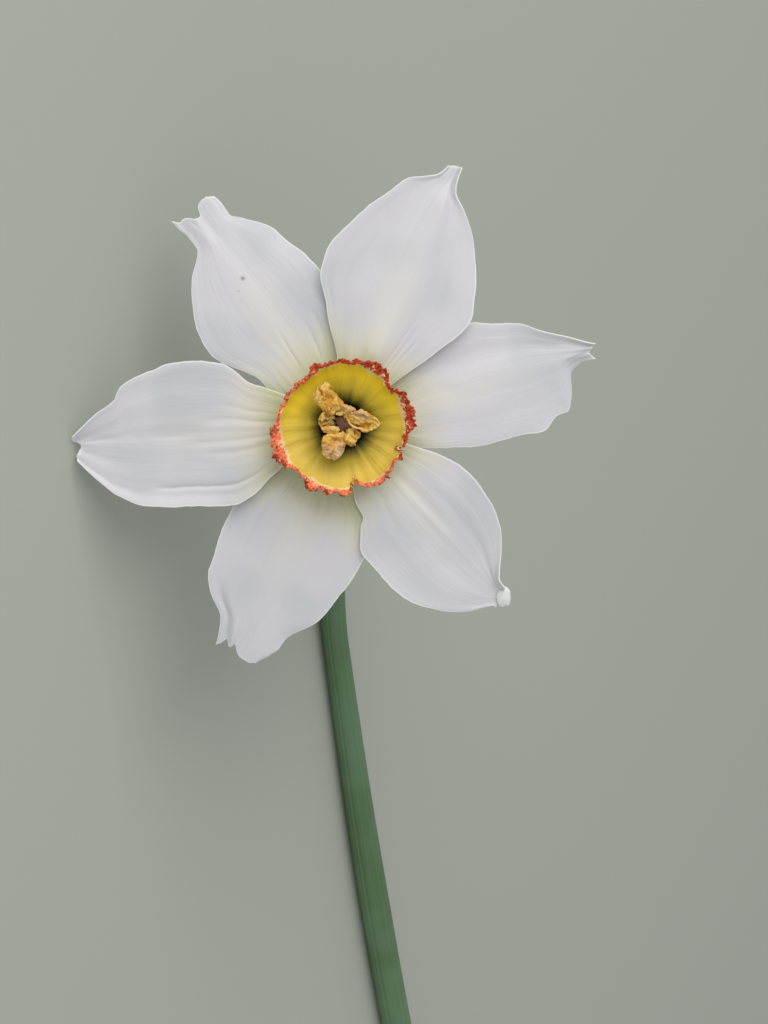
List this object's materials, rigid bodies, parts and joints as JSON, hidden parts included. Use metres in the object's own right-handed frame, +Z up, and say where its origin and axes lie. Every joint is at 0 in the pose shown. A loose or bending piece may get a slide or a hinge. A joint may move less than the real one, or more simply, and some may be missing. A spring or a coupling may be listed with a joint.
{
  "type": "narcissus flower",
  "caption": "Cut narcissus flower on its stem, with broad pale tepals round a small crisped cup, lying down.",
  "frame": {"origin": "on the flat underside of the stem, where the lying flower touches the surface, 60 mm behind the top of the stem", "axes": "+X along the stem towards the flower, +Y to the side the flower head leans over, +Z up from the surface"},
  "size_m": [0.221, 0.0517, 0.0462],
  "materials": {
    "tepal": "matte, thin petal tissue",
    "corona": "matte, ribbed",
    "tube": "satin, fleshy",
    "pistil": "matte",
    "stem": "satin, waxy",
    "spathe": "matte, papery"
  },
  "bodies": {
    "root": {"scape": "stem", "spathe": "spathe", "floral_tube": "tube", "pistil": "pistil", "corona": "corona", "tepal_outer_1": "tepal", "tepal_outer_2": "tepal", "tepal_outer_3": "tepal", "tepal_inner_1": "tepal", "tepal_inner_2": "tepal", "tepal_inner_3": "tepal"}
  },
  "joints": []
}
